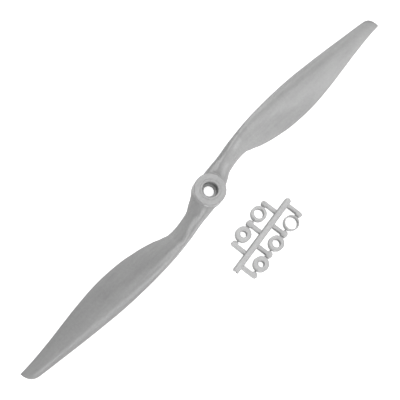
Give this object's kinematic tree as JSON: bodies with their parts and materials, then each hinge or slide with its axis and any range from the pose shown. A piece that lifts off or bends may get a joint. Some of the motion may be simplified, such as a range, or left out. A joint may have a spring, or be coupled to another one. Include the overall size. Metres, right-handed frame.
{
  "type": "model aircraft propeller",
  "caption": "Slim fixed-pitch propeller with opposed twisted blades, a round hub with a ring seat, and a moulded tree of shaft adapter rings in graded bores.",
  "frame": {"origin": "centre of the hub's rear face, on the shaft axis, at the mouth of the rear recess", "axes": "+Z out of the front face along the shaft axis, +X along the first blade to its tip, +Y towards that blade's leading edge"},
  "size_m": [0.254, 0.058, 0.0112],
  "materials": {
    "propeller_nylon": "satin glass-filled nylon, moulded",
    "tree_nylon": "satin nylon, moulded",
    "ring_nylon": "satin nylon, moulded"
  },
  "bodies": {
    "propeller": {"hub": "propeller_nylon", "blade_1": "propeller_nylon", "blade_2": "propeller_nylon"},
    "tree": {"runner": "tree_nylon", "outer_arm_1": "tree_nylon", "outer_arm_2": "tree_nylon", "outer_arm_3": "tree_nylon", "outer_arm_4": "tree_nylon", "inner_arm_1": "tree_nylon", "inner_arm_2": "tree_nylon", "inner_arm_3": "tree_nylon", "ring_gates_1": "tree_nylon", "ring_gates_2": "tree_nylon", "ring_gates_3": "tree_nylon", "ring_gates_4": "tree_nylon", "ring_gates_5": "tree_nylon"},
    "ring_1": {"adapter_ring_1": "ring_nylon"},
    "ring_2": {"adapter_ring_2": "ring_nylon"},
    "ring_3": {"adapter_ring_3": "ring_nylon"},
    "ring_4": {"adapter_ring_4": "ring_nylon"},
    "ring_5": {"adapter_ring_5": "ring_nylon"}
  },
  "joints": [
    {"name": "tree_lift", "type": "slide", "parent": "propeller", "child": "tree", "axis": [0, 0, 1], "range_m": [0, 0.06]},
    {"name": "ring_1_off", "type": "slide", "parent": "tree", "child": "ring_1", "axis": [0, 0, 1], "range_m": [0, 0.015]},
    {"name": "ring_2_off", "type": "slide", "parent": "tree", "child": "ring_2", "axis": [0, 0, 1], "range_m": [0, 0.015]},
    {"name": "ring_3_off", "type": "slide", "parent": "tree", "child": "ring_3", "axis": [0, 0, 1], "range_m": [0, 0.015]},
    {"name": "ring_4_off", "type": "slide", "parent": "tree", "child": "ring_4", "axis": [0, 0, 1], "range_m": [0, 0.015]},
    {"name": "ring_5_off", "type": "slide", "parent": "tree", "child": "ring_5", "axis": [0, 0, 1], "range_m": [0, 0.015]}
  ]
}
